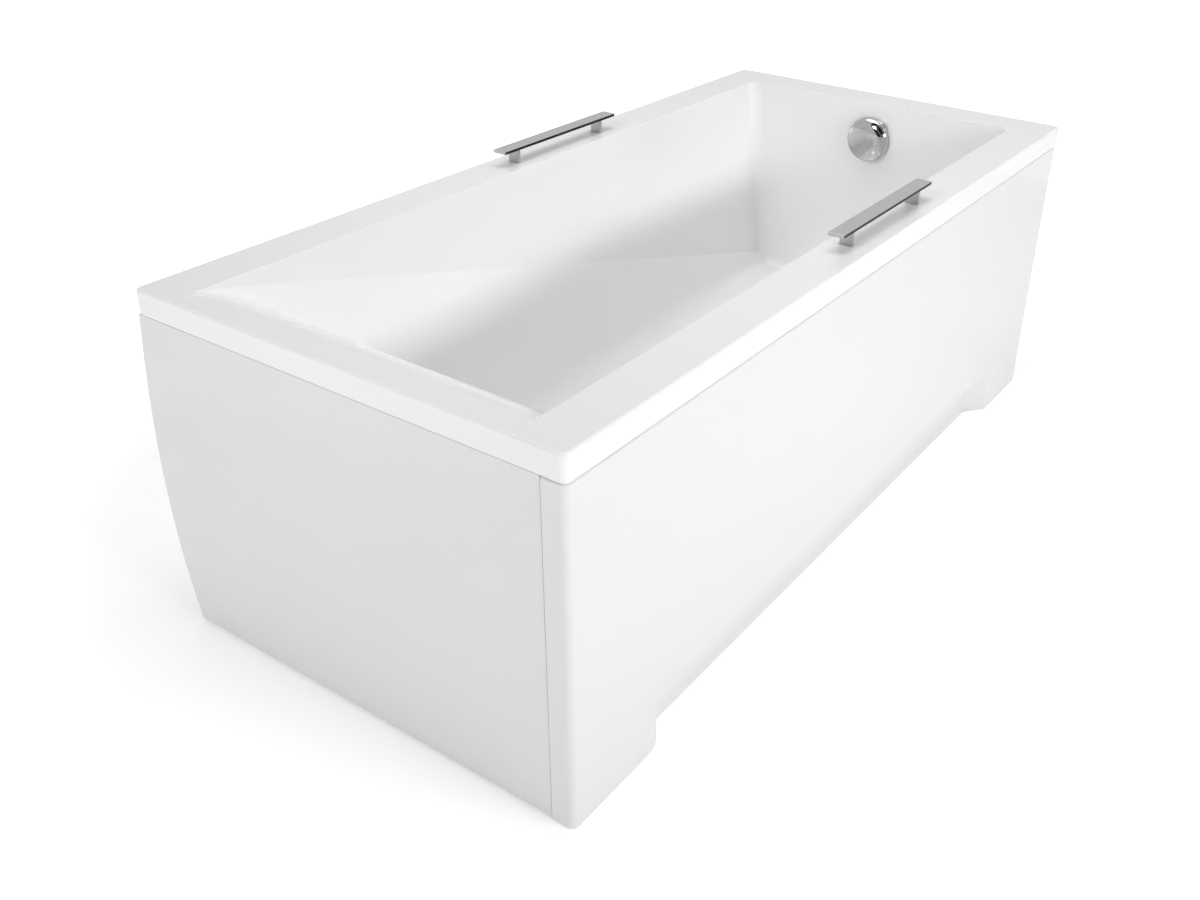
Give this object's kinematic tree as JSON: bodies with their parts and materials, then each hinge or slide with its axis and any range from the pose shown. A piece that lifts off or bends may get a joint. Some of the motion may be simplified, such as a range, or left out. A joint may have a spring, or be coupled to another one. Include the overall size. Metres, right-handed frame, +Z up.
{
  "type": "bathtub",
  "caption": "Sit-in bathtub with a sloping backrest, a front apron with toe recess, an end panel, grab handles, a plug worked by the overflow knob, and screw feet.",
  "frame": {"origin": "on the floor, at the centre of the bath's footprint", "axes": "+X to the foot end with the overflow, +Y to the wall side away from the apron, +Z up"},
  "size_m": [1.513, 0.7, 0.563],
  "materials": {
    "acrylic": "glossy white acrylic",
    "panel": "glossy white sheet",
    "chipboard": "raw chipboard",
    "zinc": "zinc plated",
    "brushed": "brushed and clear coated",
    "chrome": "polished",
    "brass": "turned",
    "seal": "matt black",
    "white_plastic": "moulded",
    "hose": "moulded grey",
    "black_plastic": "moulded black"
  },
  "bodies": {
    "bath": {"apron_clips": "zinc", "bar_screws": "zinc", "base_board": "chipboard", "bath_shell": "acrylic", "bowden_cable": "black_plastic", "clip_screws": "zinc", "end_panel": "panel", "end_panel_clips": "zinc", "foot_nuts": "zinc", "front_apron": "panel", "handle_bar_back": "brushed", "handle_bar_front": "brushed", "handle_gaskets": "seal", "handle_nuts": "zinc", "handle_posts_back": "brushed", "handle_posts_front": "brushed", "handle_washers": "zinc", "hose_unions": "white_plastic", "leg_bar_foot": "zinc", "leg_bar_head": "zinc", "lever_pin": "brass", "overflow_bezel": "chrome", "overflow_body": "white_plastic", "overflow_hose": "hose", "overflow_seal": "seal", "rim_batten_back": "chipboard", "rim_batten_foot": "chipboard", "rim_batten_front": "chipboard", "rim_batten_head": "chipboard", "trap_body": "white_plastic", "trap_nut": "white_plastic", "waste_body": "white_plastic", "waste_flange": "chrome", "waste_seal": "seal"},
    "knob": {"overflow_knob": "chrome", "overflow_spindle": "brass"},
    "plug": {"waste_plug": "chrome", "plug_seal": "seal", "plug_stem": "brass"},
    "lever": {"lift_lever": "black_plastic"},
    "foot_head_front": {"foot_rod_head_front": "zinc", "foot_pad_head_front": "black_plastic"},
    "foot_head_back": {"foot_rod_head_back": "zinc", "foot_pad_head_back": "black_plastic"},
    "foot_foot_front": {"foot_rod_foot_front": "zinc", "foot_pad_foot_front": "black_plastic"},
    "foot_foot_back": {"foot_rod_foot_back": "zinc", "foot_pad_foot_back": "black_plastic"}
  },
  "joints": [
    {"name": "overflow_knob_turn", "type": "hinge", "parent": "bath", "child": "knob", "pos_m": [0.67509, 0, 0.466], "axis": [-0.9994, 0, 0.0349], "range_deg": [0, 90]},
    {"name": "plug_lift", "type": "slide", "parent": "bath", "child": "plug", "axis": [0, 0, 1], "range_m": [0, 0.01]},
    {"name": "lift_lever_turn", "type": "hinge", "parent": "bath", "child": "lever", "pos_m": [0.5665, 0.0231, 0.1262], "axis": [-1, 0, 0], "range_deg": [0, 25]},
    {"name": "foot_head_front_screw", "type": "slide", "parent": "bath", "child": "foot_head_front", "axis": [0, 0, -1], "range_m": [-0.01, 0.03]},
    {"name": "foot_head_back_screw", "type": "slide", "parent": "bath", "child": "foot_head_back", "axis": [0, 0, -1], "range_m": [-0.01, 0.03]},
    {"name": "foot_foot_front_screw", "type": "slide", "parent": "bath", "child": "foot_foot_front", "axis": [0, 0, -1], "range_m": [-0.01, 0.03]},
    {"name": "foot_foot_back_screw", "type": "slide", "parent": "bath", "child": "foot_foot_back", "axis": [0, 0, -1], "range_m": [-0.01, 0.03]}
  ],
  "couplings": [
    {"joint": "plug_lift", "follows": "overflow_knob_turn", "m_per_rad": 0.0063661},
    {"joint": "lift_lever_turn", "follows": "overflow_knob_turn", "ratio": 0.27777}
  ]
}
